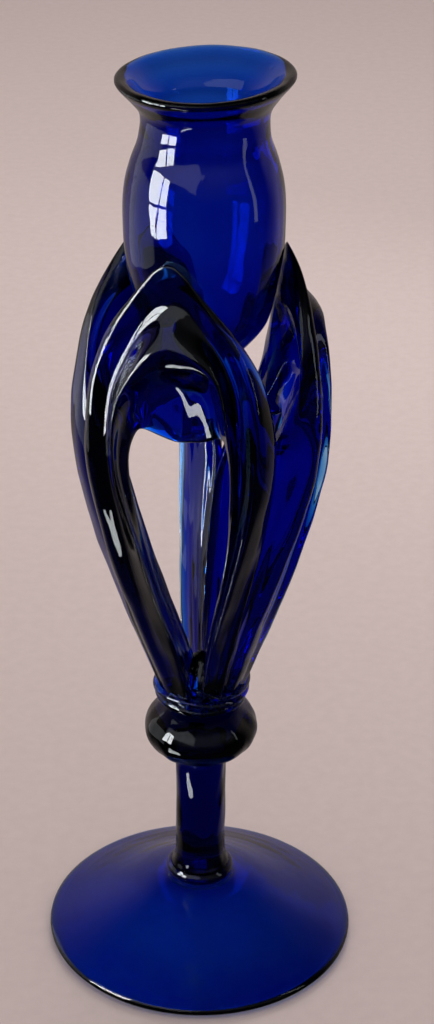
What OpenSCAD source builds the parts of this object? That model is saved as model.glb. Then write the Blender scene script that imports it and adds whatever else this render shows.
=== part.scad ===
// Hand-blown glass candlestick: a cone foot, a short stem and a ball knop carry three
// pierced pointed petals that rise from a wound collar and clasp a tulip-shaped candle cup.
// Millimetres, +Z up. The origin is the centre of the foot's resting face.

/* [Foot] */
// Diameter across the foot
foot_d = 84.6; // [76:0.2:96]
// Height of the foot's cone, up to the ring under the stem
foot_h = 18.5; // [13:0.5:23]
// Glass thickness of the foot
foot_wall = 2.6; // [2:0.1:3.5]
// Width of the polished ring that the foot rests on
rest_w = 2.2; // [1.6:0.2:3.6]

/* [Stem and knop] */
// Diameter of the ring between foot and stem
ring_d = 18.4; // [17:0.2:21]
// Height of that ring
ring_h = 3; // [2.4:0.1:5]
// Diameter of the stem at its middle
stem_d = 13.6; // [11:0.2:16]
// Length of the stem
stem_h = 36; // [28:0.5:48]
// Diameter of the ball knop
knop_d = 30.8; // [27:0.2:35]
// Height of the ball knop between its flats
knop_h = 17.5; // [15:0.5:20]

/* [Collar] */
// Diameter of the wound thread of glass
thread_d = 2.7; // [2.2:0.1:3]
// Turns of the thread
thread_turns = 2.4; // [2:0.1:3]
// Rise of the thread for each turn
thread_pitch = 2.5; // [2.4:0.1:3.2]

/* [Petals] */
// Bulge of the petals, as a share of the full shape
bulge = 1; // [0.9:0.01:1.1]
// Depth of the channel along the face of each petal
channel = 2.8; // [0.6:0.1:3.4]
// Depth of the V valley between two neighbouring petals
valley = 6; // [3:0.5:8]
// Radial depth of the wall around each petal's hole
hole_wall = 6.5; // [5:0.5:8]

/* [Candle cup] */
// Bore of the throat that holds the candle
throat_d = 24.8; // [22:0.1:26]
// Length of the throat's straight wall
throat_h = 7; // [5:0.5:7.5]
// Outer diameter of the rolled lip
lip_d = 43.2; // [40:0.2:46]
// Largest outer diameter of the cup's belly
belly_d = 39.8; // [38:0.2:42]

/* [Hidden] */
$fn = 96;
eps = 0.01;

foot_r = foot_d / 2;
ring_z = foot_h;
stem_z = ring_z + ring_h;
knop_z = stem_z + stem_h;
neck_z = knop_z + knop_h;
knop_r = knop_d / 2;

// Height of the cup's outer bottom above the origin, and of the lip's top
cup_z = neck_z + 97;
lip_z = cup_z + 78;

deep = "midnightblue";
cobalt = "mediumblue";

// ---- smooth curves ----
// Catmull-Rom interpolation of any vectors
function cat(a, b, c, d, t) =
    0.5 * ((2 * b) + (c - a) * t + (2 * a - 5 * b + 4 * c - d) * t * t + (3 * b - a - 3 * c + d) * t * t * t);

// Open curve through the points p, n steps in each span
function smooth_open(p, n) = let (m = len(p) - 1) [
    for (i = [0 : m - 1], k = [0 : n - 1])
        cat(i > 0 ? p[i - 1] : 2 * p[0] - p[1], p[i], p[i + 1],
            i + 2 <= m ? p[i + 2] : 2 * p[m] - p[m - 1], k / n),
    p[m]
];

// Closed curve through the points p, n steps in each span
function smooth_ring(p, n) = let (m = len(p)) [
    for (i = [0 : m - 1], k = [0 : n - 1])
        cat(p[(i + m - 1) % m], p[i], p[(i + 1) % m], p[(i + 2) % m], k / n)
];

function mix(a, b, t) = a * (1 - t) + b * t;

// ---- foot ----
// Half section: polished resting ring, rounded rim, gently sagging cone, hollow underside
function foot_top() = smooth_open([
    [foot_r - 0.5, 0.35], [foot_r, 1.3], [foot_r - 0.7, 2.3],
    [foot_r - 4, 3.9], [foot_r * 0.66, foot_h * 0.47], [foot_r * 0.42, foot_h * 0.76],
    [ring_d / 2 + 1.4, foot_h * 0.93], [ring_d / 2 - 0.6, foot_h]], 6);

function foot_under() = smooth_open([
    [0, foot_h - foot_wall - 1.2], [6, foot_h - foot_wall - 1.6], [foot_r * 0.36, foot_h * 0.79 - foot_wall],
    [foot_r * 0.62, foot_h * 0.49 - foot_wall], [foot_r - rest_w - 4, 1.6], [foot_r - rest_w - 1.2, 0.35],
    [foot_r - rest_w - 0.6, 0]], 6);

module foot() {
    color(cobalt) rotate_extrude($fn = 160)
        polygon(concat([for (q = foot_top()) q], [[0, foot_h]], foot_under(), [[foot_r - 1.1, 0]]));
}

// ---- ring between foot and stem ----
module foot_ring() {
    r = ring_d / 2;
    color(deep) translate([0, 0, ring_z]) rotate_extrude()
        polygon(concat([[0, 0]], smooth_open([[r - 0.7, 0], [r, ring_h * 0.34], [r - 0.25, ring_h * 0.68], [stem_d / 2 + 1.3, ring_h]], 6), [[0, ring_h]]));
}

// ---- stem ----
module stem() {
    r = stem_d / 2;
    color(deep) translate([0, 0, stem_z]) rotate_extrude()
        polygon(concat([[0, 0]],
            smooth_open([[r + 1.2, 0], [r + 0.8, 1.4], [r + 0.3, 4], [r, 9], [r - 0.1, stem_h * 0.5],
                [r, stem_h - 6], [r + 0.1, stem_h - 2.5], [r + 0.3, stem_h]], 5),
            [[0, stem_h]]));
}

// ---- knop, with the neck that the petals are joined to ----
module knop() {
    c = knop_h / 2;
    color(deep) translate([0, 0, knop_z]) rotate_extrude()
        polygon(concat([[0, 0]],
            smooth_open([[stem_d / 2 - 0.1, 0], [knop_r * 0.66, c * 0.2], [knop_r * 0.9, c * 0.53], [knop_r, c],
                [knop_r * 0.92, c * 1.42], [knop_r * 0.73, c * 1.75], [knop_r * 0.56, knop_h],
                [7.4, knop_h + 4], [5.8, knop_h + 9], [2.6, knop_h + 13]], 6),
            [[0, knop_h + 14]]));
}

// ---- collar: one thread of glass wound about the neck, its tail left standing ----
wrap_start = 70;
wrap_steps = 26;
function thread_path() = let (n = round(wrap_steps * thread_turns)) concat(
    [for (i = [0 : n]) let (a = wrap_start - 360 * i / wrap_steps, h = i / wrap_steps)
        [(10.7 + 0.62 * h) * cos(a), (10.7 + 0.62 * h) * sin(a), 2.4 + thread_pitch * h, 0.86 + 0.14 * sin(180 * i / n)]],
    [for (k = [1 : 3]) let (a = wrap_start - 360 * n / wrap_steps - 9 * k, h = n / wrap_steps)
        [(10.8 + 0.62 * h) * cos(a), (10.8 + 0.62 * h) * sin(a), 2.4 + thread_pitch * h + 0.9 * k, 0.84 - 0.14 * k]]);

module collar_wrap() {
    path = thread_path();
    m = len(path) - 1;
    sides = 10;
    pts = [for (i = [0 : m]) let (
            p = [path[i][0], path[i][1], path[i][2]],
            a = atan2(p[1], p[0]),
            w = thread_d / 2 * path[i][3] * (i == 0 || i == m ? 0.55 : 1))
        for (j = [0 : sides - 1]) let (b = 360 * j / sides)
            p + w * [cos(b) * cos(a), cos(b) * sin(a), sin(b)]];
    color(deep) translate([0, 0, neck_z - 1.5]) polyhedron(pts, concat(
        [for (i = [0 : m - 1], j = [0 : sides - 1]) let (k = (j + 1) % sides)
            each [[i * sides + j, (i + 1) * sides + k, i * sides + k], [i * sides + j, (i + 1) * sides + j, (i + 1) * sides + k]]],
        [for (j = [1 : sides - 2]) [0, j, j + 1]],
        [for (j = [1 : sides - 2]) [m * sides, m * sides + j + 1, m * sides + j]]));
}

// ---- petals ----
// Every petal is one closed loop: it rises from the neck as a left arm, turns over at the
// pointed tip and comes down as a right arm. Its section has eleven corners, and each corner
// runs along the loop through ten stations, from the neck (0) to the tip (9).
// Heights are above the neck. Azimuths are degrees, 0 towards -Y and 90 towards +X.

// Radius of the petals' outer surface by height
function outer_r(z) = bulge * lookup(z, [[0, 9.7], [8, 12.3], [15, 15.3], [30, 20.9], [47, 26.7], [56, 29.2], [65, 31.4], [74, 33],
    [83, 33.8], [93, 33.4], [102, 32], [109, 30.4], [115, 28.4], [121, 26], [126, 23.6], [131, 21.6], [136, 20.6]]);

// Stations of the crest at the rim, and of the ridge round the hole: heights
crest_z = [0, 15, 30, 47, 65, 83, 102, 115, 125.5, 134.5];
ridge_z = [0, 15, 30, 47, 65, 81, 98, 108.5, 112.8, 113.7];
// Stations of the lip inside the hole, which becomes the tongue under the arch
lip_in = [[3, 0], [5.5, 15], [13, 30], [19.5, 47], [24.5, 65], [26.6, 80], [22.8, 88.6], [19.6, 87.2], [18, 85.8], [17.4, 85.6]];
// Rounded inner edge of the tongue, and its top: radius, height, at stations 6 to 9
tongue_in = [[19.8, 91.5], [16, 89], [14.4, 88.4], [14, 88.6]];
tongue_top = [[20.8, 95.4], [17, 93.8], [15, 94], [14.4, 94.4]];
// Hollow inner face between tongue and cup: radius, height, at stations 6 to 9
hollow = [[25.6, 100.5], [20.4, 101.8], [17.4, 103], [16.6, 103.6]];
// Stations of the inner side: radius, height, share of the way back from crest to pillar
inner = [[1, 0, 1], [2.5, 13, 1], [8, 29, 1], [13.5, 46, 1], [18, 63, 1], [21.5, 79, 1], [28, 99.5, 0.4], [25.2, 109.5, 0.16], [20.2, 114.5, 0.02], [17.5, 115.5, 0]];
// Depth of the valley at each station, as a share of the full depth
valley_k = [0.15, 0.2, 0.33, 0.55, 0.85, 1.1, 1.35];
// Depth of the channel at each station, as a share of the full depth
channel_k = [0.1, 0.15, 0.35, 0.55, 0.75, 0.95, 1.15, 1.3, 1.15, 0.8];
// How far the inner side of an arm that stands free of its neighbour moves out, at each station
free_k = [0, 0, 0, 0, 0.15, 0.9, 0.6, 0.3, 0, 0];

// A point from radius, azimuth and height
function cyl(r, a, z) = [r * sin(a), -r * cos(a), z];

// One section of a petal, with eleven corners. s is the station, p the azimuth of the pillar that the arm belongs to,
// a the azimuth of the crest, b the azimuth of the ridge, dz how far the tip sits low.
function section(s, p, a, b, dz, free = 0) = let (
        low = dz * pow(s / 9, 6),
        za = crest_z[s] - low,
        zb = ridge_z[s] - low * 0.8,
        ra = s < 9 ? outer_r(za) : bulge * 21,
        rb = outer_r(zb),
        arm = s < 6,
        k = s - 6,
        rc = arm ? max(1.5, rb - hole_wall) : lip_in[s][0],
        zc = arm ? zb : lip_in[s][1] - low * 0.5,
        ac = arm ? mix(b, p, 0.2 * min(1, (6 - s) / 3)) : mix(b, a, s < 8 ? 0.25 : 0),
        ad = mix(a, p, inner[s][2]),
        rd = min(mix(inner[s][0], ra - 5, free * free_k[s]), rc + (arm ? -0.6 : 9)),
        out = free * (s == 6 ? 3.5 : s == 7 ? 1.5 : 0),
        zd = inner[s][1] - low * 0.6
    ) [
        // crest of the rim
        cyl(ra, a, za),
        // channel
        cyl(outer_r(mix(za, zb, 0.5)) - channel * channel_k[s], mix(a, b, 0.5), mix(za, zb, 0.5)),
        // ridge round the hole
        cyl(rb, b, zb),
        // wall of the hole, or the face of the tongue
        arm ? cyl(mix(rb, rc, 0.5), mix(b, p, 0.08), mix(zb, zc, 0.5))
            : cyl([27.8, 24.6, 22.8, 22.2][k], mix(b, ac, 0.5), [93.5, 99.5, 101.5, 102][k] - low * 0.5),
        // lip inside the hole
        cyl(rc, ac, zc),
        // rounded inner edge
        arm ? cyl(mix(rc, rd, 0.38), mix(b, p, 0.38), mix(zc, zd, 0.3))
            : cyl(tongue_in[k][0] + out, ac, tongue_in[k][1] - low * 0.5),
        arm ? cyl(mix(rc, rd, 0.72), mix(b, p, 0.6), mix(zc, zd, 0.6))
            : cyl(tongue_top[k][0] + out, mix(ac, ad, 0.2), tongue_top[k][1] - low * 0.5),
        // hollow inner face
        arm ? cyl(mix(rc, rd, 0.93), mix(b, p, 0.82), mix(zc, zd, 0.85))
            : cyl(hollow[k][0] + out * 0.7, mix(ac, ad, 0.55), hollow[k][1] - low * 0.5),
        // back of the arm on the pillar, or the seat on the cup
        cyl(rd, ad, zd),
        // valley between neighbours, or the seat on the cup
        arm ? cyl(ra - valley * valley_k[s], p, za - 0.5)
            : s == 6 ? cyl(ra - 3.2, mix(a, p, 0.5), za - 1.5)
            : cyl([26, 21, 18.9][k - 1], mix(a, p, [0.3, 0.1, 0][k - 1]), [112.5, 120.5, 124][k - 1] - low),
        // flank under the crest
        s < 7 ? cyl(ra - 0.9 - 1.5 * channel_k[s], mix(a, p, s == 6 ? 0.45 : 0.6), za - 0.3)
            : cyl([27.4, 22.8, 20.2][k - 1], mix(a, p, [0.24, 0.12, 0][k - 1]), [114.5, 124.5, 130.5][k - 1] - low)
    ];

// pl, pr: azimuths of the pillars on the left and right; al, ar: how far the crest stands from
// each pillar; bl, br: how far the ridge does; tip: azimuths of the tip's crest and ridge;
// fl, fr: 1 where the left or right arm parts from its neighbour before the top
function loop(pl, pr, al, ar, bl, br, tip, dz, fl = 0, fr = 0) = concat(
    [for (s = [0 : 8]) section(s, pl[min(s, 6)], pl[min(s, 6)] + al[s], pl[min(s, 6)] + bl[s], dz, fl)],
    [section(9, tip[0], tip[0], tip[1], dz)],
    [for (k = [0 : 8]) let (s = 8 - k) section(s, pr[min(s, 6)], pr[min(s, 6)] - ar[s], pr[min(s, 6)] - br[s], dz, fr)]);

module petal(stations) {
    along = 3;
    around = 3;
    rails = 11;
    grid = [for (j = [0 : rails - 1]) smooth_open([for (q = stations) q[j]], along)];
    count = len(grid[0]);
    ring = rails * around;
    pts = [for (i = [0 : count - 1]) each smooth_ring([for (j = [0 : rails - 1]) grid[j][i]], around)];
    color(cobalt) translate([0, 0, neck_z]) polyhedron(pts, concat(
        [for (i = [0 : count - 2], j = [0 : ring - 1]) let (k = (j + 1) % ring)
            each [[i * ring + j, (i + 1) * ring + k, i * ring + k], [i * ring + j, (i + 1) * ring + j, (i + 1) * ring + k]]],
        [[for (j = [0 : ring - 1]) j]],
        [[for (j = [0 : ring - 1]) count * ring - 1 - j]]));
}

// Azimuths of the three pillars, where neighbouring petals are fused, at stations 0 to 6
pillar_a = [24, 24.5, 26.5, 30, 36, 41, 43];
pillar_b = [178, 177.5, 175, 171.5, 166, 149, 142.5];
pillar_c = [-68, -68, -69, -70, -72.5, -76, -78];
// The back pillar forks: pillar_b is its right branch and this is its left one
fork_b = [178, 177.5, 175, 171.5, 169, 179, 181.5];
turn = 360;

module petal_front() {
    petal(loop(pillar_c, pillar_a,
        [19, 19, 17.5, 16.5, 17.5, 18.5, 19.5, 26, 36], [23, 20.5, 17, 15, 16, 18, 20.5, 29, 44],
        [53, 51, 46, 41, 38.5, 35.5, 36, 45, 54], [25, 22.5, 22, 20.5, 24, 28.7, 33.5, 38, 48],
        [-23, -15], 0));
}

module petal_right() {
    petal(loop(pillar_a, pillar_b,
        [19, 18.5, 17, 17.5, 18, 18, 21, 27, 40], [21, 20, 18, 17.5, 16, 5, 2, 8.5, 22.5],
        [45, 42, 38, 34, 31, 31, 34, 40, 49], [45, 42, 38, 34.5, 30, 16, 14.5, 20.5, 29.5],
        [105, 102], 4.5, 0, 1));
}

module petal_left() {
    petal(loop(fork_b, [for (v = pillar_c) v + turn],
        [21, 19, 17, 16, 15, 5.5, 2.5, 8.5, 22.5], [19, 18.5, 17, 17, 18, 18, 20.5, 28, 42],
        [26, 25, 22, 22, 22.5, 13, 13.5, 20.5, 29.5], [45, 42, 38, 34, 31, 31, 34, 40, 49],
        [223, 223], 2, 1, 0));
}

// ---- candle cup ----
throat_z = lip_z - 16;
function cup_outer() = smooth_open([
    [0, cup_z], [5.5, cup_z + 1.9], [10.6, cup_z + 7.4], [14.8, cup_z + 12.8], [belly_d / 2 - 3.1, cup_z + 17], [belly_d / 2 - 1.6, cup_z + 24.5],
    [belly_d / 2 - 0.3, cup_z + 33], [belly_d / 2, cup_z + 40], [belly_d / 2 - 0.05, cup_z + 46], [belly_d / 2 - 0.65, cup_z + 51],
    [belly_d / 2 - 2, cup_z + 56], [mix(belly_d, throat_d + 6.1, 0.79) / 2, cup_z + 60], [throat_d / 2 + 3.35, cup_z + 63],
    [throat_d / 2 + 3.05, cup_z + 65.5], [throat_d / 2 + 3.2, cup_z + 68], [throat_d / 2 + 3.95, cup_z + 70], [throat_d / 2 + 5.3, cup_z + 72],
    [lip_d / 2 - 2.4, cup_z + 74], [lip_d / 2 - 1.1, cup_z + 75.5], [lip_d / 2 - 0.2, cup_z + 76.7], [lip_d / 2, cup_z + 77.3],
    [lip_d / 2 - 0.4, cup_z + 77.8], [lip_d / 2 - 1.1, lip_z]], 4);

function cup_inner_low() = smooth_open([
    [throat_d / 2, throat_z], [throat_d / 2 + 0.5, throat_z - 2], [mix(throat_d / 2, belly_d / 2 - 3, 0.48), throat_z - 6], [belly_d / 2 - 3.9, throat_z - 10.5], [belly_d / 2 - 3, throat_z - 18],
    [belly_d / 2 - 3.2, throat_z - 28], [belly_d / 2 - 5, throat_z - 38], [12.4, throat_z - 46], [7.2, throat_z - 53],
    [0, throat_z - 56]], 4);

function cup_inner_top() = smooth_open([
    [lip_d / 2 - 2.7, lip_z - 0.35], [lip_d / 2 - 4.1, lip_z - 1.7], [lip_d / 2 - 5.7, lip_z - 3.6], [throat_d / 2 + 1.7, lip_z - 5.4],
    [throat_d / 2 + 0.6, lip_z - 7], [throat_d / 2 + 0.1, lip_z - 8.3], [throat_d / 2, throat_z + throat_h]], 4);

module candle_cup() {
    color(cobalt) rotate_extrude($fn = 128)
        polygon(concat(cup_outer(), cup_inner_top(), cup_inner_low()));
}

foot();
foot_ring();
stem();
knop();
collar_wrap();
petal_front();
petal_right();
petal_left();
candle_cup();
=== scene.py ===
"""Looks for the hand-blown cobalt glass candlestick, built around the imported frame. Lengths in the shape code are
millimetres and become metres when a mesh is made. Azimuths are degrees, 0 towards -Y and 90 towards +X."""

import math

import bpy
import numpy as np
from mathutils import Matrix, Vector


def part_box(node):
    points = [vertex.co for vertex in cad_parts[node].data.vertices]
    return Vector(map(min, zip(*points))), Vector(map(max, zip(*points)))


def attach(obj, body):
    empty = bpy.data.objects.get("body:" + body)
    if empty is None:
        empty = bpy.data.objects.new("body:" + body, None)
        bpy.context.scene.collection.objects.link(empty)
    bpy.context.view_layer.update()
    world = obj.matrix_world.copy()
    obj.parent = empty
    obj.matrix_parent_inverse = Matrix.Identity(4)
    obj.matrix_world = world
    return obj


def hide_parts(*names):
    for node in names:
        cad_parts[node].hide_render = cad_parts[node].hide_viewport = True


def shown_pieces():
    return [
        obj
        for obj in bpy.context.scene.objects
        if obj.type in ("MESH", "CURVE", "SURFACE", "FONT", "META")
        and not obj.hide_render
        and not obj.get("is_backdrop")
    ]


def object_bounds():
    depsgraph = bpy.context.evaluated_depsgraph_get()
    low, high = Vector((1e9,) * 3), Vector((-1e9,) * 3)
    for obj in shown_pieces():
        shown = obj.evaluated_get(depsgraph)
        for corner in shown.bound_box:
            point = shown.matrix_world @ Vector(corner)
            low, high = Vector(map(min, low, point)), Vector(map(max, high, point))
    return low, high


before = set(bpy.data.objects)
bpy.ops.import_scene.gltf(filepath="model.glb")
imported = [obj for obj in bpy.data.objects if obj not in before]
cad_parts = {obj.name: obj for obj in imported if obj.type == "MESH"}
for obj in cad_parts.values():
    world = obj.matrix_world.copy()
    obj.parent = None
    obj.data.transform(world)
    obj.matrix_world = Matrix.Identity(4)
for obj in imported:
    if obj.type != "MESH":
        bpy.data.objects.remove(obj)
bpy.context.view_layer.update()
MM = 0.001


def mm_box(node):
    lo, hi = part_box(node)
    return np.array(lo) / MM, np.array(hi) / MM


foot_box, ring_box, stem_box = mm_box("foot"), mm_box("foot_ring"), mm_box("stem")
knop_box, cup_box = mm_box("knop"), mm_box("candle_cup")
foot_r, foot_h = foot_box[1][0], foot_box[1][2]
ring_r, ring_z, ring_h = ring_box[1][0], ring_box[0][2], ring_box[1][2] - ring_box[0][2]
stem_z, stem_h = stem_box[0][2], stem_box[1][2] - stem_box[0][2]
stem_r = stem_box[1][0] - 1.2
neck_z = knop_box[1][2] - 14
knop_z, knop_r = knop_box[0][2], knop_box[1][0]
knop_h = neck_z - knop_z
cup_z, lip_z, lip_r = cup_box[0][2], cup_box[1][2], cup_box[1][0]


# ---------------------------------------------------------------- camera
def make_camera():
    pitch, yaw, roll = 0.50673, 0.00670, -0.01019
    right = Vector((math.cos(yaw), -math.sin(yaw), 0))
    ahead = Vector((math.cos(pitch) * math.sin(yaw), math.cos(pitch) * math.cos(yaw), -math.sin(pitch)))
    up = Vector((math.sin(pitch) * math.sin(yaw), math.sin(pitch) * math.cos(yaw), math.cos(pitch)))
    x = math.cos(roll) * right - math.sin(roll) * up
    y = math.sin(roll) * right + math.cos(roll) * up
    data = bpy.data.cameras.new("camera")
    data.sensor_width = 36
    data.lens = 87.06
    data.clip_start = 0.01
    cam = bpy.data.objects.new("camera", data)
    bpy.context.scene.collection.objects.link(cam)
    cam.matrix_world = Matrix((
        (x.x, y.x, -ahead.x, 0.0),
        (x.y, y.y, -ahead.y, -0.55659),
        (x.z, y.z, -ahead.z, 0.44062),
        (0, 0, 0, 1)))
    bpy.context.scene.camera = cam


make_camera()


# ---------------------------------------------------------------- curves and noise
def cat(a, b, c, d, t):
    return 0.5 * (2 * b + (c - a) * t + (2 * a - 5 * b + 4 * c - d) * t * t + (3 * b - a - 3 * c + d) * t ** 3)


def smooth_open(p, n):
    p = np.asarray(p, float)
    m = len(p) - 1
    ext = np.concatenate([[2 * p[0] - p[1]], p, [2 * p[m] - p[m - 1]]])
    out = [cat(ext[i], ext[i + 1], ext[i + 2], ext[i + 3], k / n) for i in range(m) for k in range(n)]
    return np.array(out + [p[m]])


def smooth_ring(p, n):
    p = np.asarray(p, float)
    m = len(p)
    return np.array([cat(p[(i - 1) % m], p[i], p[(i + 1) % m], p[(i + 2) % m], k / n)
                     for i in range(m) for k in range(n)])


def even_open(p, step):
    """The same open curve with points about step apart."""
    d = np.concatenate([[0], np.cumsum(np.linalg.norm(np.diff(p, axis=0), axis=1))])
    t = np.linspace(0, d[-1], max(3, int(round(d[-1] / step)) + 1))
    return np.stack([np.interp(t, d, p[:, k]) for k in range(p.shape[1])], 1)


def waves(p, size, seed, n=12):
    """Smooth noise about -1..1 over points p (in mm), with features of about that size."""
    rng = np.random.default_rng(seed)
    k = rng.normal(size=(n, 3))
    k /= np.linalg.norm(k, axis=1)[:, None]
    k *= (2 * math.pi / size) * rng.uniform(0.55, 1.5, (n, 1))
    return np.sin(p @ k.T + rng.uniform(0, 2 * math.pi, n)).sum(1) / math.sqrt(n * 1.2)


def ramp(x, a, b):
    t = np.clip((np.asarray(x, float) - a) / (b - a), 0, 1)
    return t * t * (3 - 2 * t)


# ---------------------------------------------------------------- meshes
def volume(verts, faces):
    """Six times the signed volume inside the faces, which have three or four corners."""
    tris = np.array([f[:3] for f in faces] + [(f[0], f[2], f[3]) for f in faces if len(f) == 4])
    a, b, c = verts[tris[:, 0]], verts[tris[:, 1]], verts[tris[:, 2]]
    return float(np.einsum("ij,ij->i", a, np.cross(b, c)).sum())


def mesh_object(name, verts, faces, node, material):
    verts = np.asarray(verts, float)
    if volume(verts, faces) < 0:
        faces = [tuple(reversed(f)) for f in faces]
    me = bpy.data.meshes.new(name)
    me.from_pydata((verts * MM).tolist(), [], faces)
    me.validate()
    me.update()
    me.polygons.foreach_set("use_smooth", [True] * len(me.polygons))
    me.materials.append(material)
    ob = bpy.data.objects.new(name, me)
    bpy.context.scene.collection.objects.link(ob)
    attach(ob, "root")
    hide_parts(node)
    return ob


def revolve(profile, seg):
    """Vertices and faces of a solid of revolution; the profile starts and ends on the axis."""
    prof = np.asarray(profile, float)
    verts, faces = [], []
    ang = np.arange(seg) * 2 * math.pi / seg
    rows = []
    for r, z in prof:
        if r < 1e-6:
            rows.append([len(verts)])
            verts.append((0, 0, z))
        else:
            rows.append(list(range(len(verts), len(verts) + seg)))
            verts.extend(zip(r * np.cos(ang), r * np.sin(ang), [z] * seg))
    for a, b in zip(rows[:-1], rows[1:]):
        for j in range(seg):
            k = (j + 1) % seg
            if len(a) == 1:
                faces.append((a[0], b[j], b[k]))
            elif len(b) == 1:
                faces.append((a[j], b[0], a[k]))
            else:
                faces.append((a[j], b[j], b[k], a[k]))
    return np.array(verts), faces


def push(verts, faces, amount):
    """Moves each vertex along its normal."""
    me = bpy.data.meshes.new("tmp")
    me.from_pydata(verts.tolist(), [], faces)
    me.update()
    n = np.zeros(len(verts) * 3)
    me.vertices.foreach_get("normal", n)
    n = n.reshape(-1, 3)
    bpy.data.meshes.remove(me)
    return verts + n * (amount[:, None] if volume(verts, faces) > 0 else -amount[:, None])


# ---------------------------------------------------------------- glass
def node(nt, kind, x=0, y=0, **values):
    n = nt.nodes.new(kind)
    n.location = (x, y)
    for k, v in values.items():
        setattr(n, k, v)
    return n


def glass(name, absorb, density, tint, streak, wave, wave_scale, fine, rough=(0.0, 0.03), specks=0.0, rings=None,
          scratch=0.0):
    """Cobalt glass: absorption by depth, drawn streaks in its tint, hot-worked waviness and small seeds in its surface."""
    m = bpy.data.materials.new(name)
    m.use_nodes = True
    nt = m.node_tree
    nt.nodes.clear()
    out = node(nt, "ShaderNodeOutputMaterial", 900)
    bsdf = node(nt, "ShaderNodeBsdfPrincipled", 600)
    bsdf.inputs["Transmission Weight"].default_value = 1.0
    bsdf.inputs["IOR"].default_value = 1.52
    bsdf.inputs["Specular IOR Level"].default_value = 0.5
    nt.links.new(bsdf.outputs["BSDF"], out.inputs["Surface"])
    vol = node(nt, "ShaderNodeVolumeAbsorption", 600, -500)
    vol.inputs["Color"].default_value = (*absorb, 1)
    vol.inputs["Density"].default_value = density
    nt.links.new(vol.outputs["Volume"], out.inputs["Volume"])
    tc = node(nt, "ShaderNodeTexCoord", -900)
    # tint
    mp = node(nt, "ShaderNodeMapping", -700, 200)
    mp.inputs["Scale"].default_value = streak
    nt.links.new(tc.outputs["Object"], mp.inputs["Vector"])
    no = node(nt, "ShaderNodeTexNoise", -500, 200)
    no.inputs["Scale"].default_value = 1.0
    no.inputs["Detail"].default_value = 4.0
    no.inputs["Distortion"].default_value = 0.6
    nt.links.new(mp.outputs["Vector"], no.inputs["Vector"])
    cr = node(nt, "ShaderNodeValToRGB", -250, 200)
    cr.color_ramp.elements[0].position = 0.32
    cr.color_ramp.elements[0].color = (*tint[0], 1)
    cr.color_ramp.elements[1].position = 0.66
    cr.color_ramp.elements[1].color = (*tint[1], 1)
    nt.links.new(no.outputs["Fac"], cr.inputs["Fac"])
    nt.links.new(cr.outputs["Color"], bsdf.inputs["Base Color"])
    # roughness
    rn = node(nt, "ShaderNodeTexNoise", -500, -80)
    rn.inputs["Scale"].default_value = 90.0
    rn.inputs["Detail"].default_value = 5.0
    nt.links.new(tc.outputs["Object"], rn.inputs["Vector"])
    rr = node(nt, "ShaderNodeMapRange", -250, -80)
    rr.inputs["From Min"].default_value = 0.45
    rr.inputs["From Max"].default_value = 0.75
    rr.inputs["To Min"].default_value = rough[0]
    rr.inputs["To Max"].default_value = rough[1]
    nt.links.new(rn.outputs["Fac"], rr.inputs["Value"])
    nt.links.new(rr.outputs["Result"], bsdf.inputs["Roughness"])
    # waviness
    mw = node(nt, "ShaderNodeMapping", -700, -300)
    mw.inputs["Scale"].default_value = wave_scale
    nt.links.new(tc.outputs["Object"], mw.inputs["Vector"])
    wn = node(nt, "ShaderNodeTexNoise", -500, -300)
    wn.inputs["Scale"].default_value = 1.0
    wn.inputs["Detail"].default_value = 1.5
    wn.inputs["Distortion"].default_value = 0.8
    nt.links.new(mw.outputs["Vector"], wn.inputs["Vector"])
    bump = node(nt, "ShaderNodeBump", -100, -300)
    bump.inputs["Strength"].default_value = 1.0
    bump.inputs["Distance"].default_value = wave
    nt.links.new(wn.outputs["Fac"], bump.inputs["Height"])
    last = bump
    # fine pits
    fn = node(nt, "ShaderNodeTexNoise", -500, -550)
    fn.inputs["Scale"].default_value = 420.0
    fn.inputs["Detail"].default_value = 2.0
    nt.links.new(tc.outputs["Object"], fn.inputs["Vector"])
    fb = node(nt, "ShaderNodeBump", 100, -450)
    fb.inputs["Strength"].default_value = 1.0
    fb.inputs["Distance"].default_value = fine
    nt.links.new(fn.outputs["Fac"], fb.inputs["Height"])
    nt.links.new(last.outputs["Normal"], fb.inputs["Normal"])
    last = fb
    if specks:
        # scattered seeds: small round bumps
        vo = node(nt, "ShaderNodeTexVoronoi", -500, -800)
        vo.inputs["Scale"].default_value = 190.0
        vo.inputs["Randomness"].default_value = 1.0
        nt.links.new(tc.outputs["Object"], vo.inputs["Vector"])
        dot = node(nt, "ShaderNodeMapRange", -250, -800)
        dot.inputs["From Min"].default_value = 0.04
        dot.inputs["From Max"].default_value = 0.14
        dot.inputs["To Min"].default_value = 1.0
        dot.inputs["To Max"].default_value = 0.0
        nt.links.new(vo.outputs["Distance"], dot.inputs["Value"])
        sep = node(nt, "ShaderNodeSeparateColor", -250, -980)
        nt.links.new(vo.outputs["Color"], sep.inputs["Color"])
        few = node(nt, "ShaderNodeMath", -50, -980, operation="GREATER_THAN")
        few.inputs[1].default_value = 0.86
        nt.links.new(sep.outputs["Red"], few.inputs[0])
        both = node(nt, "ShaderNodeMath", 100, -850, operation="MULTIPLY")
        nt.links.new(dot.outputs["Result"], both.inputs[0])
        nt.links.new(few.outputs["Value"], both.inputs[1])
        sb = node(nt, "ShaderNodeBump", 250, -600)
        sb.inputs["Strength"].default_value = 1.0
        sb.inputs["Distance"].default_value = specks
        nt.links.new(both.outputs["Value"], sb.inputs["Height"])
        nt.links.new(last.outputs["Normal"], sb.inputs["Normal"])
        last = sb
    if rings:
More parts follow.
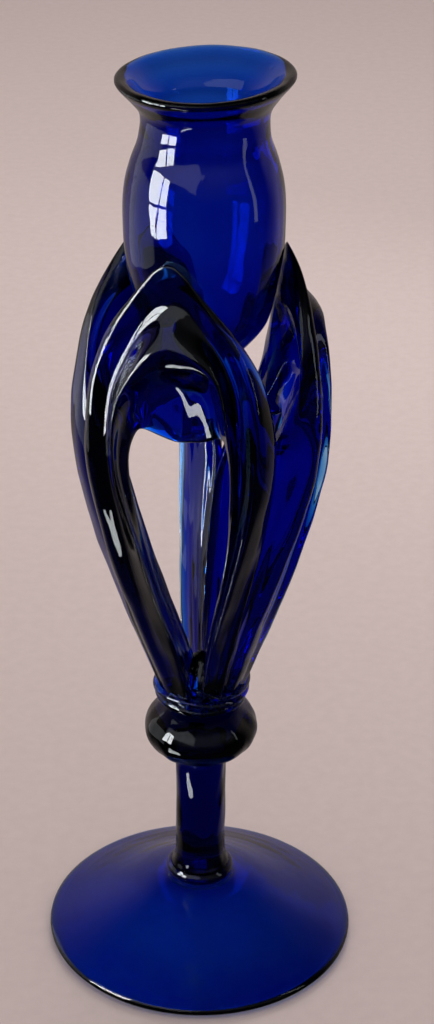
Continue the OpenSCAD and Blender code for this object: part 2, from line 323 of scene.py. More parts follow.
        # faint rings left by spinning
        wv = node(nt, "ShaderNodeTexWave", -500, -1150, wave_type="RINGS", rings_direction="Z")
        wv.inputs["Scale"].default_value = rings[0]
        wv.inputs["Distortion"].default_value = 2.5
        wv.inputs["Detail"].default_value = 2.0
        wv.inputs["Detail Scale"].default_value = 0.6
        nt.links.new(tc.outputs["Object"], wv.inputs["Vector"])
        rb = node(nt, "ShaderNodeBump", 400, -700)
        rb.inputs["Strength"].default_value = 1.0
        rb.inputs["Distance"].default_value = rings[1]
        nt.links.new(wv.outputs["Fac"], rb.inputs["Height"])
        nt.links.new(last.outputs["Normal"], rb.inputs["Normal"])
        last = rb
    if scratch:
        ms = node(nt, "ShaderNodeMapping", -700, -1400)
        ms.inputs["Rotation"].default_value = (0, 0, 0.7)
        ms.inputs["Scale"].default_value = (60, 900, 60)
        nt.links.new(tc.outputs["Object"], ms.inputs["Vector"])
        sn = node(nt, "ShaderNodeTexNoise", -500, -1400)
        sn.inputs["Scale"].default_value = 1.0
        sn.inputs["Detail"].default_value = 3.0
        sn.inputs["Distortion"].default_value = 0.3
        nt.links.new(ms.outputs["Vector"], sn.inputs["Vector"])
        sm = node(nt, "ShaderNodeMapRange", -250, -1400)
        sm.inputs["From Min"].default_value = 0.70
        sm.inputs["From Max"].default_value = 0.78
        nt.links.new(sn.outputs["Fac"], sm.inputs["Value"])
        cb = node(nt, "ShaderNodeBump", 500, -900)
        cb.inputs["Strength"].default_value = 1.0
        cb.inputs["Distance"].default_value = scratch
        nt.links.new(sm.outputs["Result"], cb.inputs["Height"])
        nt.links.new(last.outputs["Normal"], cb.inputs["Normal"])
        last = cb
    nt.links.new(last.outputs["Normal"], bsdf.inputs["Normal"])
    return m


COBALT = (0.0, 0.467, 0.883)
DEEP = (0.0, 0.55, 0.908)
cup_glass = glass("cup_glass", COBALT, 1500, ((0.80, 0.88, 1.0), (0.95, 0.98, 1.0)), (120, 120, 22),
                  0.00010, (110, 110, 26), 0.000003, (0.0, 0.015), specks=0.00004)
petal_glass = glass("petal_glass", DEEP, 2100, ((0.72, 0.82, 1.0), (0.95, 0.98, 1.0)), (200, 200, 24),
                    0.00004, (150, 150, 22), 0.000002, (0.0, 0.01), specks=0.00003)
solid_glass = glass("solid_glass", DEEP, 2000, ((0.74, 0.82, 1.0), (0.95, 0.98, 1.0)), (160, 160, 40),
                    0.00006, (130, 130, 50), 0.000002, (0.0, 0.01), specks=0.00003)
side_glass = glass("side_glass", (0.0, 0.60, 0.935), 2000, ((0.78, 0.86, 1.0), (0.95, 0.98, 1.0)), (200, 200, 24),
                   0.00004, (150, 150, 22), 0.000002, (0.0, 0.01), specks=0.00003)
foot_glass = glass("foot_glass", (0.0, 0.60, 0.900), 1500, ((0.74, 0.88, 1.0), (0.90, 0.97, 1.0)), (60, 60, 60),
                   0.00004, (60, 60, 60), 0.000002, (0.004, 0.04), specks=0.00003, rings=(28.0, 0.000006), scratch=0.000012)


# ---------------------------------------------------------------- foot
def foot_mesh():
    top = smooth_open([
        [ring_r - 0.6, foot_h], [ring_r + 1.4, foot_h * 0.93], [foot_r * 0.42, foot_h * 0.76],
        [foot_r * 0.66, foot_h * 0.47], [foot_r - 4, 3.9], [foot_r - 0.7, 2.3], [foot_r, 1.3], [foot_r - 0.5, 0.35]], 24)
    wall, rest = 2.6, 2.2
    under = smooth_open([
        [0, foot_h - wall - 1.2], [6, foot_h - wall - 1.6], [foot_r * 0.36, foot_h * 0.79 - wall],
        [foot_r * 0.62, foot_h * 0.49 - wall], [foot_r - rest - 4, 1.6], [foot_r - rest - 1.2, 0.35],
        [foot_r - rest - 0.6, 0]], 24)[::-1]
    cap = np.stack([np.linspace(0, ring_r - 0.6, 12)[:-1], np.full(11, foot_h)], 1)
    rim = smooth_open([[foot_r - 0.5, 0.35], [foot_r - 1.1, 0.0], [foot_r - 1.9, 0.0], [foot_r - rest - 0.6, 0]], 5)[1:-1]
    line = np.concatenate([cap, even_open(top, 0.55), rim, even_open(under, 0.8)])
    line[:, 1] = np.maximum(line[:, 1], 0)
    verts, faces = revolve(line, 288)
    r = np.hypot(verts[:, 0], verts[:, 1])
    a = np.arctan2(verts[:, 1], verts[:, 0])
    # spun waviness: broad sag round the rim, faint rings, none on the resting ring or where the ring sits
    free = ramp(r, ring_r + 0.5, ring_r + 8) * (1 - ramp(r, foot_r - 5, foot_r - 1.5))
    lift = free * (0.14 * np.sin(2 * a + 0.6) + 0.09 * np.sin(3 * a + 2.0) + 0.05 * np.sin(5 * a + 1.0)
                   + 0.012 * np.sin(r * 1.45 + 0.5 * np.sin(2 * a)) + 0.06 * waves(verts, 18, 5) + 0.008 * waves(verts, 6, 6))
    verts[:, 2] += lift
    # the rim is not quite round
    rim_w = ramp(r, foot_r - 14, foot_r)
    k = 1 - rim_w * (0.0022 * (1 + np.sin(2 * a + 1.1)) + 0.0012 * (1 + np.sin(3 * a + 0.2)))
    verts[:, 0] *= k
    verts[:, 1] *= k
    verts[:, 2] = np.clip(verts[:, 2], 0.01, foot_h)
    return verts, faces


v, f = foot_mesh()
mesh_object("foot_blown", v, f, "foot", foot_glass)


# ---------------------------------------------------------------- ring, stem, knop
def stack(name, line, seg, node_name, lump, seed, lean=0.0):
    verts, faces = revolve(line, seg)
    r = np.hypot(verts[:, 0], verts[:, 1])
    a = np.arctan2(verts[:, 1], verts[:, 0])
    z = verts[:, 2]
    z0, z1 = z.min(), z.max()
    side = ramp(r, 1.0, 5.0) * ramp(z, z0 + 0.2, z0 + 2.0) * (1 - ramp(z, z1 - 2.0, z1 - 0.2))
    amount = side * lump * (waves(verts * [1, 1, 0.45], 9, seed) + 0.5 * waves(verts * [1, 1, 0.3], 4.2, seed + 1)
                            + 0.6 * np.sin(2 * a + 0.05 * z + seed)) - side * lump * 1.2
    verts = push(verts, faces, amount)
    return mesh_object(name, verts, faces, node_name, solid_glass)


def disc_line(r, z, up):
    pts = np.stack([np.linspace(0, r, 8)[:-1], np.full(7, z)], 1)
    return pts if up else pts[::-1]


lap = 0.25  # neighbours are fused: each piece goes a little way into the one below
line = np.concatenate([
    disc_line(stem_r + 1.3, ring_z + ring_h, True),
    even_open(smooth_open([[ring_r - 0.7, ring_z - lap], [ring_r, ring_z + ring_h * 0.34],
                           [ring_r - 0.25, ring_z + ring_h * 0.68], [stem_r + 1.3, ring_z + ring_h]], 16)[::-1], 0.3),
    disc_line(ring_r - 0.7, ring_z - lap, False)])
stack("foot_ring_merese", line, 144, "foot_ring", 0.07, 21)

line = np.concatenate([
    disc_line(stem_r + 0.3, stem_z + stem_h, True),
    even_open(smooth_open([[stem_r + 1.2, stem_z - lap], [stem_r + 0.8, stem_z + 1.4], [stem_r + 0.3, stem_z + 4],
                           [stem_r, stem_z + 9], [stem_r - 0.1, stem_z + stem_h * 0.5], [stem_r, stem_z + stem_h - 6],
                           [stem_r + 0.1, stem_z + stem_h - 2.5], [stem_r + 0.3, stem_z + stem_h]], 20)[::-1], 0.45),
    disc_line(stem_r + 1.2, stem_z - lap, False)])
stack("stem_rod", line, 144, "stem", 0.16, 31)

c = knop_h / 2
line = np.concatenate([
    [[0, knop_z + knop_h + 14]],
    even_open(smooth_open([[stem_r - 0.1, knop_z - lap], [knop_r * 0.66, knop_z + c * 0.2], [knop_r * 0.9, knop_z + c * 0.53],
                           [knop_r, knop_z + c], [knop_r * 0.92, knop_z + c * 1.42], [knop_r * 0.73, knop_z + c * 1.75],
                           [knop_r * 0.56, knop_z + knop_h], [7.4, knop_z + knop_h + 4], [5.8, knop_z + knop_h + 9],
                           [2.6, knop_z + knop_h + 13], [1.2, knop_z + knop_h + 13.8]], 20)[::-1], 0.5),
    disc_line(stem_r - 0.1, knop_z - lap, False)])
stack("knop_ball", line, 192, "knop", 0.12, 41)


# ---------------------------------------------------------------- wound collar
def collar():
    turns, pitch, thick, start, steps = 2.4, 2.5, 2.7, 70, 26
    n = round(steps * turns)
    path = [((10.7 + 0.62 * i / steps), start - 360 * i / steps, 2.4 + pitch * i / steps,
             0.86 + 0.14 * math.sin(math.pi * i / n)) for i in range(n + 1)]
    h = n / steps
    path += [(10.8 + 0.62 * h, start - 360 * n / steps - 9 * k, 2.4 + pitch * h + 0.9 * k, 0.84 - 0.14 * k)
             for k in (1, 2, 3)]
    path = smooth_open(path, 8)
    m = len(path)
    s = np.linspace(0, 1, m)
    # a thread wound hot is uneven: thickness, place and squash all wander along it
    wob = np.sin(31 * s + 1.0) * 0.5 + np.sin(53 * s + 0.4) * 0.3 + np.sin(97 * s) * 0.2
    wob2 = np.sin(23 * s + 2.0) * 0.5 + np.sin(67 * s + 1.4) * 0.35
    sides = 28
    verts, faces = [], []
    end = np.minimum(1, np.minimum(np.arange(m), np.arange(m)[::-1]) / 7.0)
    for i in range(m):
        r, a, z, w = path[i]
        a = math.radians(a)
        w = thick / 2 * w * (1 + 0.07 * wob[i]) * math.sqrt(max(0.04, end[i] * (2 - end[i])))
        r = r - 0.1 + 0.16 * wob2[i]
        z = z + 0.28 * wob[i] * end[i]
        for j in range(sides):
            b = 2 * math.pi * j / sides
            lean = 0.25 * math.sin(14 * s[i])
            cb, sb = math.cos(b), math.sin(b)
            fat = 1 + 0.05 * math.sin(3 * b + 40 * s[i])
            verts.append(((r + w * fat * (cb - lean * 0.2 * sb)) * math.cos(a), (r + w * fat * (cb - lean * 0.2 * sb)) * math.sin(a),
                          neck_z - 1.5 + z + w * fat * sb * 0.96))
    for i in range(m - 1):
        for j in range(sides):
            k = (j + 1) % sides
            faces.append((i * sides + j, i * sides + k, (i + 1) * sides + k, (i + 1) * sides + j))
    for i in (0, m - 1):
        c0 = np.mean(verts[i * sides:(i + 1) * sides], axis=0)
        verts.append(tuple(c0))
        e = len(verts) - 1
        for j in range(sides):
            k = (j + 1) % sides
            faces.append((e, i * sides + k, i * sides + j) if i == 0 else (e, i * sides + j, i * sides + k))
    return np.array(verts), faces


v, f = collar()
lo, hi = mm_box("collar_wrap")
v[:, 2] = np.clip(v[:, 2], lo[2], hi[2])
mesh_object("collar_thread", v, f, "collar_wrap", solid_glass)

# ---------------------------------------------------------------- petals
CHANNEL, VALLEY, HOLE_WALL = 2.8, 6.0, 6.5
R_Z = [0, 8, 15, 30, 47, 56, 65, 74, 83, 93, 102, 109, 115, 121, 126, 131, 136]
R_R = [9.7, 12.3, 15.3, 20.9, 26.7, 29.2, 31.4, 33, 33.8, 33.4, 32, 30.4, 28.4, 26, 23.6, 21.6, 20.6]
CREST_Z = [0, 15, 30, 47, 65, 83, 102, 115, 125.5, 134.5]
RIDGE_Z = [0, 15, 30, 47, 65, 81, 98, 108.5, 112.8, 113.7]
LIP_IN = [[3, 0], [5.5, 15], [13, 30], [19.5, 47], [24.5, 65], [26.6, 80], [22.8, 88.6], [19.6, 87.2], [18, 85.8], [17.4, 85.6]]
TONGUE_IN = [[19.8, 91.5], [16, 89], [14.4, 88.4], [14, 88.6]]
TONGUE_TOP = [[20.8, 95.4], [17, 93.8], [15, 94], [14.4, 94.4]]
TONGUE_FACE = [[27.8, 93.5], [24.6, 99.5], [22.8, 101.5], [22.2, 102]]
HOLLOW = [[25.6, 100.5], [20.4, 101.8], [17.4, 103], [16.6, 103.6]]
INNER = [[1, 0, 1], [2.5, 13, 1], [8, 29, 1], [13.5, 46, 1], [18, 63, 1], [21.5, 79, 1], [28, 99.5, 0.4],
         [25.2, 109.5, 0.16], [20.2, 114.5, 0.02], [17.5, 115.5, 0]]
VALLEY_K = [0.15, 0.2, 0.33, 0.55, 0.85, 1.1, 1.35]
CHANNEL_K = [0.1, 0.15, 0.35, 0.55, 0.75, 0.95, 1.15, 1.3, 1.15, 0.8]
FREE_K = [0, 0, 0, 0, 0.15, 0.9, 0.6, 0.3, 0, 0]
PILLAR_A = [24, 24.5, 26.5, 30, 36, 41, 43]
PILLAR_B = [178, 177.5, 175, 171.5, 166, 149, 142.5]
PILLAR_C = [-68, -68, -69, -70, -72.5, -76, -78]
FORK_B = [178, 177.5, 175, 171.5, 169, 179, 181.5]


def outer_r(z):
    return float(np.interp(z, R_Z, R_R))


def mix(a, b, t):
    return a * (1 - t) + b * t


def cyl(r, a, z):
    a = math.radians(a)
    return (r * math.sin(a), -r * math.cos(a), z)


def section(s, p, a, b, dz, free=0):
    low = dz * (s / 9) ** 6
    za = CREST_Z[s] - low
    zb = RIDGE_Z[s] - low * 0.8
    ra = outer_r(za) if s < 9 else 21
    rb = outer_r(zb)
    arm = s < 6
    k = s - 6
    rc = max(1.5, rb - HOLE_WALL) if arm else LIP_IN[s][0]
    zc = zb if arm else LIP_IN[s][1] - low * 0.5
    ac = mix(b, p, 0.2 * min(1, (6 - s) / 3)) if arm else mix(b, a, 0.25 if s < 8 else 0)
    ad = mix(a, p, INNER[s][2])
    rd = min(mix(INNER[s][0], ra - 5, free * FREE_K[s]), rc + (-0.6 if arm else 9))
    out = free * (3.5 if s == 6 else 1.5 if s == 7 else 0)
    zd = INNER[s][1] - low * 0.6
    return [
        cyl(ra, a, za),
        cyl(outer_r(mix(za, zb, 0.5)) - CHANNEL * CHANNEL_K[s], mix(a, b, 0.5), mix(za, zb, 0.5)),
        cyl(rb, b, zb),
        cyl(mix(rb, rc, 0.5), mix(b, p, 0.08), mix(zb, zc, 0.5)) if arm
        else cyl(TONGUE_FACE[k][0], mix(b, ac, 0.5), TONGUE_FACE[k][1] - low * 0.5),
        cyl(rc, ac, zc),
        cyl(mix(rc, rd, 0.38), mix(b, p, 0.38), mix(zc, zd, 0.3)) if arm
        else cyl(TONGUE_IN[k][0] + out, ac, TONGUE_IN[k][1] - low * 0.5),
        cyl(mix(rc, rd, 0.72), mix(b, p, 0.6), mix(zc, zd, 0.6)) if arm
        else cyl(TONGUE_TOP[k][0] + out, mix(ac, ad, 0.2), TONGUE_TOP[k][1] - low * 0.5),
        cyl(mix(rc, rd, 0.93), mix(b, p, 0.82), mix(zc, zd, 0.85)) if arm
        else cyl(HOLLOW[k][0] + out * 0.7, mix(ac, ad, 0.55), HOLLOW[k][1] - low * 0.5),
        cyl(rd, ad, zd),
        cyl(ra - VALLEY * VALLEY_K[s], p, za - 0.5) if arm
        else cyl(ra - 3.2, mix(a, p, 0.5), za - 1.5) if s == 6
        else cyl([26, 21, 18.9][k - 1], mix(a, p, [0.3, 0.1, 0][k - 1]), [112.5, 120.5, 124][k - 1] - low),
        cyl(ra - 0.9 - 1.5 * CHANNEL_K[s], mix(a, p, 0.45 if s == 6 else 0.6), za - 0.3) if s < 7
        else cyl([27.4, 22.8, 20.2][k - 1], mix(a, p, [0.24, 0.12, 0][k - 1]), [114.5, 124.5, 130.5][k - 1] - low)]


def loop(pl, pr, al, ar, bl, br, tip, dz, fl=0, fr=0):
    lap = [1.5, 1.5, 1.5, 1.5, 1.2, 0.3, 0, 0, 0]  # neighbours run a little into each other where they are fused
    left = [section(s, pl[min(s, 6)] - lap[s], pl[min(s, 6)] + al[s], pl[min(s, 6)] + bl[s], dz, fl) for s in range(9)]
    top = [section(9, tip[0], tip[0], tip[1], dz)]
    right = [section(s, pr[min(s, 6)] + lap[s], pr[min(s, 6)] - ar[s], pr[min(s, 6)] - br[s], dz, fr) for s in range(8, -1, -1)]
    return np.array(left + top + right)


def blur(g, axis, width, closed):
    """Weighted average along one grid axis, to round what the interpolation leaves sharp."""
    if width <= 0:
        return g
    reach = int(math.ceil(width * 2.5))
    w = np.exp(-0.5 * (np.arange(-reach, reach + 1) / width) ** 2)
    w /= w.sum()
    pad = [(0, 0)] * g.ndim
    pad[axis] = (reach, reach)
    h = np.pad(g, pad, mode="wrap") if closed else np.pad(g, pad, mode="reflect", reflect_type="odd")
    n = g.shape[axis]
    return sum(w[i] * np.take(h, range(i, i + n), axis) for i in range(len(w)))


def petal(name, node_name, stations, seed):
    along, around = 12, 9
    rails = np.stack([smooth_open(stations[:, j], along) for j in range(11)], 1)
    grid = np.stack([smooth_ring(row, around) for row in rails])
    grid = blur(grid, 0, 3.5, False)
    grid = blur(grid, 1, 1.0, True)
    rows, ring = grid.shape[:2]
    u = np.linspace(0, 1, rows)[:, None]
    v = (np.arange(ring) / ring)[None, :]
    rng = np.random.default_rng(seed)
    d = np.zeros((rows, ring))
    # cords drawn out along the arm, wandering as they go
    for k, amp in ((3, 0.10), (5, 0.08), (7, 0.055), (9, 0.04), (12, 0.022), (16, 0.012)):
        f1, f2 = rng.uniform(1.5, 3.5), rng.uniform(5, 9)
        p1, p2, p3 = rng.uniform(0, 2 * math.pi, 3)
        d += amp * np.sin(2 * math.pi * k * v + p1 + 1.6 * np.sin(2 * math.pi * f1 * u + p2)
                          + 0.5 * np.sin(2 * math.pi * f2 * u + p3))
    verts = grid.reshape(-1, 3)
    d = d.reshape(-1) + 0.12 * waves(verts, 15, seed + 1) + 0.02 * waves(verts, 6, seed + 2)
    # quiet where the arms are fused to the neck
    d *= ramp(verts[:, 2], 2, 14) * 0.85
    faces = []
    for i in range(rows - 1):
        for j in range(ring):
            k = (j + 1) % ring
            faces.append((i * ring + j, i * ring + k, (i + 1) * ring + k, (i + 1) * ring + j))
    extra = []
    for row, i in enumerate((0, rows - 1)):
        extra.append(verts[i * ring:(i + 1) * ring].mean(0))
        e = len(verts) + row
        for j in range(ring):
            k = (j + 1) % ring
            faces.append((e, i * ring + k, i * ring + j) if i == 0 else (e, i * ring + j, i * ring + k))
    verts = np.concatenate([verts, extra])
    verts = push(verts, faces, np.concatenate([d, [0, 0]]))
    verts[:, 2] += neck_z
    lo, hi = mm_box(node_name)
    verts = np.clip(verts, lo, hi)
    if node_name == "petal_right":
        return mesh_object(name, verts, faces, node_name, side_glass)
    return mesh_object(name, verts, faces, node_name, petal_glass)


petal("petal_front_loop", "petal_front", loop(
    PILLAR_C, PILLAR_A,
    [19, 19, 17.5, 16.5, 17.5, 18.5, 19.5, 26, 36], [23, 20.5, 17, 15, 16, 18, 20.5, 29, 44],
    [53, 51, 46, 41, 38.5, 35.5, 36, 45, 54], [25, 22.5, 22, 20.5, 24, 28.7, 33.5, 38, 48], [-23, -15], 0), 101)
petal("petal_right_loop", "petal_right", loop(
    PILLAR_A, PILLAR_B,
    [19, 18.5, 17, 17.5, 18, 18, 21, 27, 40], [21, 20, 18, 17.5, 16, 5, 2, 8.5, 22.5],
    [45, 42, 38, 34, 31, 31, 34, 40, 49], [45, 42, 38, 34.5, 30, 16, 14.5, 20.5, 29.5], [105, 102], 4.5, 0, 1), 202)
petal("petal_left_loop", "petal_left", loop(
    FORK_B, [v + 360 for v in PILLAR_C],
    [21, 19, 17, 16, 15, 5.5, 2.5, 8.5, 22.5], [19, 18.5, 17, 17, 18, 18, 20.5, 28, 42],
    [26, 25, 22, 22, 22.5, 13, 13.5, 20.5, 29.5], [45, 42, 38, 34, 31, 31, 34, 40, 49], [223, 223], 2, 1, 0), 303)


# ---------------------------------------------------------------- candle cup
def cup_mesh():
    belly, throat, ld = 39.8, 24.8, lip_r * 2
    tz = lip_z - 16
    outer = smooth_open([
        [0, cup_z], [5.5, cup_z + 1.9], [10.6, cup_z + 7.4], [14.8, cup_z + 12.8], [belly / 2 - 3.1, cup_z + 17],
        [belly / 2 - 1.6, cup_z + 24.5], [belly / 2 - 0.3, cup_z + 33], [belly / 2, cup_z + 40],
        [belly / 2 - 0.05, cup_z + 46], [belly / 2 - 0.65, cup_z + 51], [belly / 2 - 2, cup_z + 56],
        [mix(belly, throat + 6.1, 0.79) / 2, cup_z + 60], [throat / 2 + 3.35, cup_z + 63],
        [throat / 2 + 3.05, cup_z + 65.5], [throat / 2 + 3.2, cup_z + 68], [throat / 2 + 3.95, cup_z + 70],
        [throat / 2 + 5.3, cup_z + 72], [ld / 2 - 2.4, cup_z + 74], [ld / 2 - 1.1, cup_z + 75.5],
        [ld / 2 - 0.2, cup_z + 76.7], [ld / 2, cup_z + 77.3], [ld / 2 - 0.4, cup_z + 77.8], [ld / 2 - 1.1, lip_z]], 14)
    top = smooth_open([
        [ld / 2 - 2.7, lip_z - 0.35], [ld / 2 - 4.1, lip_z - 1.7], [ld / 2 - 5.7, lip_z - 3.6], [throat / 2 + 1.7, lip_z - 5.4],
        [throat / 2 + 0.6, lip_z - 7], [throat / 2 + 0.1, lip_z - 8.3], [throat / 2, tz + 7]], 14)
    low = smooth_open([
        [throat / 2, tz], [throat / 2 + 0.5, tz - 2], [mix(throat / 2, belly / 2 - 3, 0.48), tz - 6],
        [belly / 2 - 3.9, tz - 10.5], [belly / 2 - 3, tz - 18], [belly / 2 - 3.2, tz - 28], [belly / 2 - 5, tz - 38],
        [12.4, tz - 46], [7.2, tz - 53], [0, tz - 56]], 16)
    whole = even_open(np.concatenate([outer, top, low]), 0.55)
    w = np.array([1, 3, 5, 3, 1]) / 13.0
    soft = whole.copy()
    soft[2:-2] = sum(w[i] * whole[i:len(whole) - 4 + i] for i in range(5))
    keep = ((np.abs(whole[:, 0] - throat / 2) < 0.3) | (whole[:, 1] > lip_z - 3))[:, None]
    whole = np.where(keep, whole, soft)
    whole[0], whole[-1] = (0, cup_z), (0, tz - 56)
    verts, faces = revolve(whole, 256)
    x, y, z = verts.T
    r = np.hypot(x, y)
    a = np.arctan2(y, x)
    lip_w = ramp(z, lip_z - 15, lip_z - 1)
    # the lip dips on one side and is not quite round
    z2 = z - lip_w * (0.85 * (1 - x / lip_r) + 0.08 * (1 + np.sin(3 * a + 0.4)))
    k = 1 - lip_w * ramp(r, throat / 2, lip_r) * (0.002 * (1 + np.sin(2 * a + 0.3)) + 0.001 * (1 + np.sin(3 * a + 1.9)))
    verts = np.stack([x * k, y * k, z2], 1)
    side = ramp(r, 4, 10) * (1 - ramp(z, lip_z - 17, lip_z - 12))
    amount = side * (0.10 * waves(verts * [1, 1, 0.3], 17, 7) + 0.045 * waves(verts * [1, 1, 0.18], 6, 8)) - side * 0.12
    amount += lip_w * ramp(r, throat / 2 + 1.5, lip_r - 3) * 0.05 * waves(verts, 9, 9)
    return push(verts, faces, amount), faces


v, f = cup_mesh()
mesh_object("candle_cup_blown", v, f, "candle_cup", cup_glass)


# ---------------------------------------------------------------- studio
def studio():
    scene = bpy.context.scene
    scene.view_settings.view_transform = "Standard"
    scene.view_settings.look = "None"
    # floor
    me = bpy.data.meshes.new("floor")
    s = 6.0
    me.from_pydata([(-s, -s, -0.0004), (s, -s, -0.0004), (s, s, -0.0004), (-s, s, -0.0004)], [], [(0, 1, 2, 3)])
    floor = bpy.data.objects.new("floor", me)
    scene.collection.objects.link(floor)
    m = bpy.data.materials.new("pale_floor")
    m.use_nodes = True
    b = m.node_tree.nodes["Principled BSDF"]
    b.inputs["Roughness"].default_value = 0.75
    b.inputs["Specular IOR Level"].default_value = 0.2
    tc = m.node_tree.nodes.new("ShaderNodeTexCoord")
    no = m.node_tree.nodes.new("ShaderNodeTexNoise")
    no.inputs["Scale"].default_value = 260.0
    no.inputs["Detail"].default_value = 4.0
    cr = m.node_tree.nodes.new("ShaderNodeValToRGB")
    cr.color_ramp.elements[0].position = 0.3
    cr.color_ramp.elements[0].color = (0.80, 0.655, 0.635, 1)
    cr.color_ramp.elements[1].position = 0.7
    cr.color_ramp.elements[1].color = (0.84, 0.69, 0.67, 1)
    m.node_tree.links.new(tc.outputs["Object"], no.inputs["Vector"])
    m.node_tree.links.new(no.outputs["Fac"], cr.inputs["Fac"])
    m.node_tree.links.new(cr.outputs["Color"], b.inputs["Base Color"])
    me.materials.append(m)
    floor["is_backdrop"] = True
    floor.visible_glossy = False

    # world: pale behind, dimmer in front, plain to the camera
    w = bpy.data.worlds.new("studio")
    w.use_nodes = True
    scene.world = w
    nt = w.node_tree
    nt.nodes.clear()
    out = nt.nodes.new("ShaderNodeOutputWorld")
    plain = nt.nodes.new("ShaderNodeBackground")
    plain.inputs["Color"].default_value = (0.40, 0.325, 0.31, 1)
    room = nt.nodes.new("ShaderNodeBackground")
    lp = nt.nodes.new("ShaderNodeLightPath")
    pick = nt.nodes.new("ShaderNodeMixShader")
    wc = nt.nodes.new("ShaderNodeTexCoord")
    sp = nt.nodes.new("ShaderNodeSeparateXYZ")
    mr = nt.nodes.new("ShaderNodeMapRange")
    mr.inputs["From Min"].default_value = 0.05
    mr.inputs["From Max"].default_value = 0.65
    ramp_n = nt.nodes.new("ShaderNodeValToRGB")
    ramp_n.color_ramp.elements[0].color = (0.02, 0.022, 0.03, 1)
    ramp_n.color_ramp.elements[1].color = (0.56, 0.47, 0.45, 1)
    nt.links.new(wc.outputs["Generated"], sp.inputs["Vector"])
    high = nt.nodes.new("ShaderNodeMapRange")
    high.inputs["From Min"].default_value = 0.35
    high.inputs["From Max"].default_value = 0.75
    high.inputs["To Min"].default_value = 1.0
    high.inputs["To Max"].default_value = 0.0
    both = nt.nodes.new("ShaderNodeMath")
    both.operation = "MULTIPLY"
    nt.links.new(sp.outputs["Y"], mr.inputs["Value"])
    nt.links.new(sp.outputs["Z"], high.inputs["Value"])
    nt.links.new(mr.outputs["Result"], both.inputs[0])
    nt.links.new(high.outputs["Result"], both.inputs[1])
    nt.links.new(both.outputs["Value"], ramp_n.inputs["Fac"])
    nt.links.new(ramp_n.outputs["Color"], room.inputs["Color"])

    def math_node(op, a, b=None):
        n = nt.nodes.new("ShaderNodeMath")
        n.operation = op
        for i, x in enumerate((a, b)):
            if x is None:
                continue
            if isinstance(x, (int, float)):
                n.inputs[i].default_value = x
            else:
                nt.links.new(x, n.inputs[i])
        return n.outputs["Value"]

    def between(x, a, b, c0=0.0, c1=1.0):
        n = nt.nodes.new("ShaderNodeMapRange")
        for k, v in (("From Min", a), ("From Max", b), ("To Min", c0), ("To Max", c1)):
            n.inputs[k].default_value = v
        nt.links.new(x, n.inputs["Value"])
        return n.outputs["Result"]

    # mirror images of the pale side are dimmer than what is seen through the glass
    nt.links.new(math_node("SUBTRACT", 1.0, math_node("MULTIPLY", lp.outputs["Is Glossy Ray"], 0.45)), room.inputs["Strength"])
    # soft glow high in front, behind the camera
    glow = nt.nodes.new("ShaderNodeBackground")
    glow.inputs["Color"].default_value = (0.50, 0.52, 0.58, 1)
    part = math_node("MULTIPLY", between(sp.outputs["Y"], -0.15, -0.55), between(sp.outputs["Z"], 0.08, 0.35))
    part = math_node("MULTIPLY", part, between(sp.outputs["Z"], 0.72, 0.92, 1.0, 0.0))
    nt.links.new(math_node("MULTIPLY", part, 0.2), glow.inputs["Strength"])
    total = nt.nodes.new("ShaderNodeAddShader")
    nt.links.new(room.outputs["Background"], total.inputs[0])
    nt.links.new(glow.outputs["Background"], total.inputs[1])
    nt.links.new(lp.outputs["Is Camera Ray"], pick.inputs["Fac"])
    nt.links.new(total.outputs["Shader"], pick.inputs[1])
    nt.links.new(plain.outputs["Background"], pick.inputs[2])
    # even light on the floor, also under the glass
    even = nt.nodes.new("ShaderNodeBackground")
    even.inputs["Color"].default_value = (0.45, 0.438, 0.43, 1)
    last = nt.nodes.new("ShaderNodeMixShader")
    nt.links.new(math_node("GREATER_THAN", lp.outputs["Diffuse Depth"], 0.5), last.inputs["Fac"])
    nt.links.new(pick.outputs["Shader"], last.inputs[1])
    nt.links.new(even.outputs["Background"], last.inputs[2])
    nt.links.new(last.outputs["Shader"], out.inputs["Surface"])

    def light(name, at, to, size, power, color=(1, 1, 1)):
        d = bpy.data.lights.new(name, "AREA")
        d.shape = "RECTANGLE"
        d.size, d.size_y = size
        d.energy = power
        d.color = color
        o = bpy.data.objects.new(name, d)
        scene.collection.objects.link(o)
        o.location = at
        o.rotation_mode = "QUATERNION"
        o.rotation_quaternion = (Vector(to) - Vector(at)).to_track_quat("-Z", "Y")
        o.visible_camera = False
        return o

    mid = (0, 0, 0.14)
    # the lamps whose mirror images draw the highlights light the glass only, so that the floor stays evenly pale
    only = bpy.data.collections.new("glass_pieces")
    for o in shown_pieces():
        only.objects.link(o)

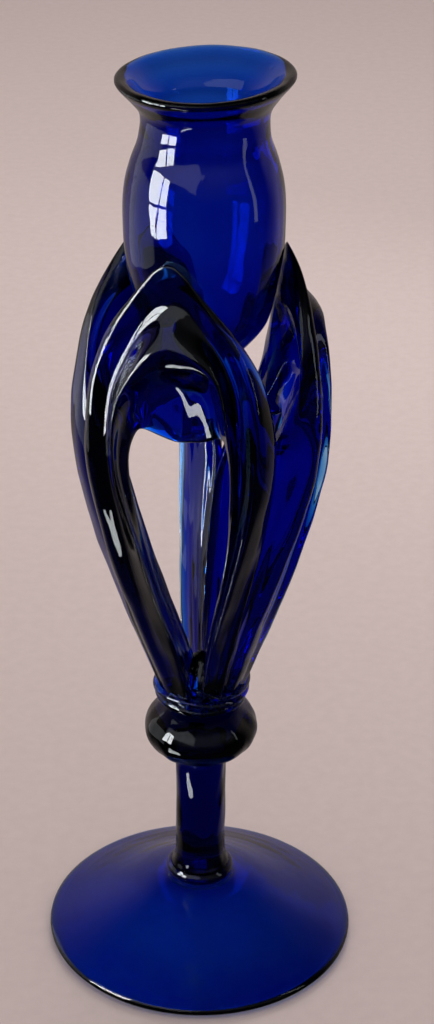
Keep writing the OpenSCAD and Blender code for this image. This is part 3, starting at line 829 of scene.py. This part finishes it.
    # window at the left, four panes
    for i, (dx, dz) in enumerate(((-0.046, -0.056), (0.046, -0.056), (-0.046, 0.060), (0.046, 0.060))):
        at = Vector((-0.30, -0.14, 0.185)) + Vector((0.42, -0.90, 0)) * dx + Vector((0, 0, dz))
        w_lamp = light("window_%d" % i, at, at + Vector((0.90, 0.42, -0.10)), (0.080, 0.104), 0.42, (0.93, 0.97, 1.0))
        w_lamp.light_linking.receiver_collection = only
    # pale card lying at the left, its mirror image draws the lines down stem, knop and arms
    card = light("card_left", (-0.105, -0.085, 0.003), (-0.105, -0.085, 1.0), (0.020, 0.13), 0.055, (0.93, 0.97, 1.0))
    card.rotation_quaternion = (Matrix.Rotation(math.radians(-51), 3, "Z") @ Matrix.Rotation(math.pi, 3, "Y")).to_quaternion()
    card.light_linking.receiver_collection = only
    # soft boxes: a broad one over the camera and a low one at the left, the same for every glass piece
    aim = Vector((-0.006, -0.021, 0.19))

    def soft(name, az, el, dist, size, radiance):
        az, el = math.radians(az), math.radians(el)
        at = aim + dist * Vector((math.sin(az) * math.cos(el), -math.cos(az) * math.cos(el), math.sin(el)))
        o = light(name, at, aim, size, radiance * math.pi * size[0] * size[1], (0.90, 0.95, 1.0))
        o.light_linking.receiver_collection = only
        o.visible_transmission = False
        return o

    soft("front_soft", -46, 33, 0.75, (1.20, 0.52), 0.62)
    soft("left_soft", -104, -10, 0.40, (0.40, 0.26), 0.5)
    # weak one at the right
    side = light("side_right", (0.36, -0.12, 0.24), mid, (0.05, 0.30), 0.05, (0.90, 0.95, 1.0))
    side.light_linking.receiver_collection = only
    # behind, lights the glass through
    back = light("back_right", (0.20, 0.42, 0.30), (0.0, 0.0, 0.2), (0.30, 0.30), 0.30, (1.0, 0.98, 0.96))
    back.visible_glossy = False
    # high behind: throws the soft shadow of stem and knop forward over the foot
    high_back = light("back_high", (0.015, 0.62, 0.55), (0, 0, 0.02), (0.24, 0.24), 0.8, (1.0, 0.98, 0.96))
    high_back.visible_glossy = False
    # broad fill over the camera
    fill = light("front_fill", (0.12, -1.15, 0.90), mid, (1.1, 0.7), 0.5, (1.0, 0.98, 0.97))
    fill.visible_glossy = False
    # overhead, for the floor only: it has no mirror image in the glass
    top = light("overhead", (-0.1, 0.65, 1.6), (0, 0.35, 0), (1.6, 1.6), 2.2, (1.0, 0.975, 0.955))
    top.visible_glossy = False


studio()

lo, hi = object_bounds()
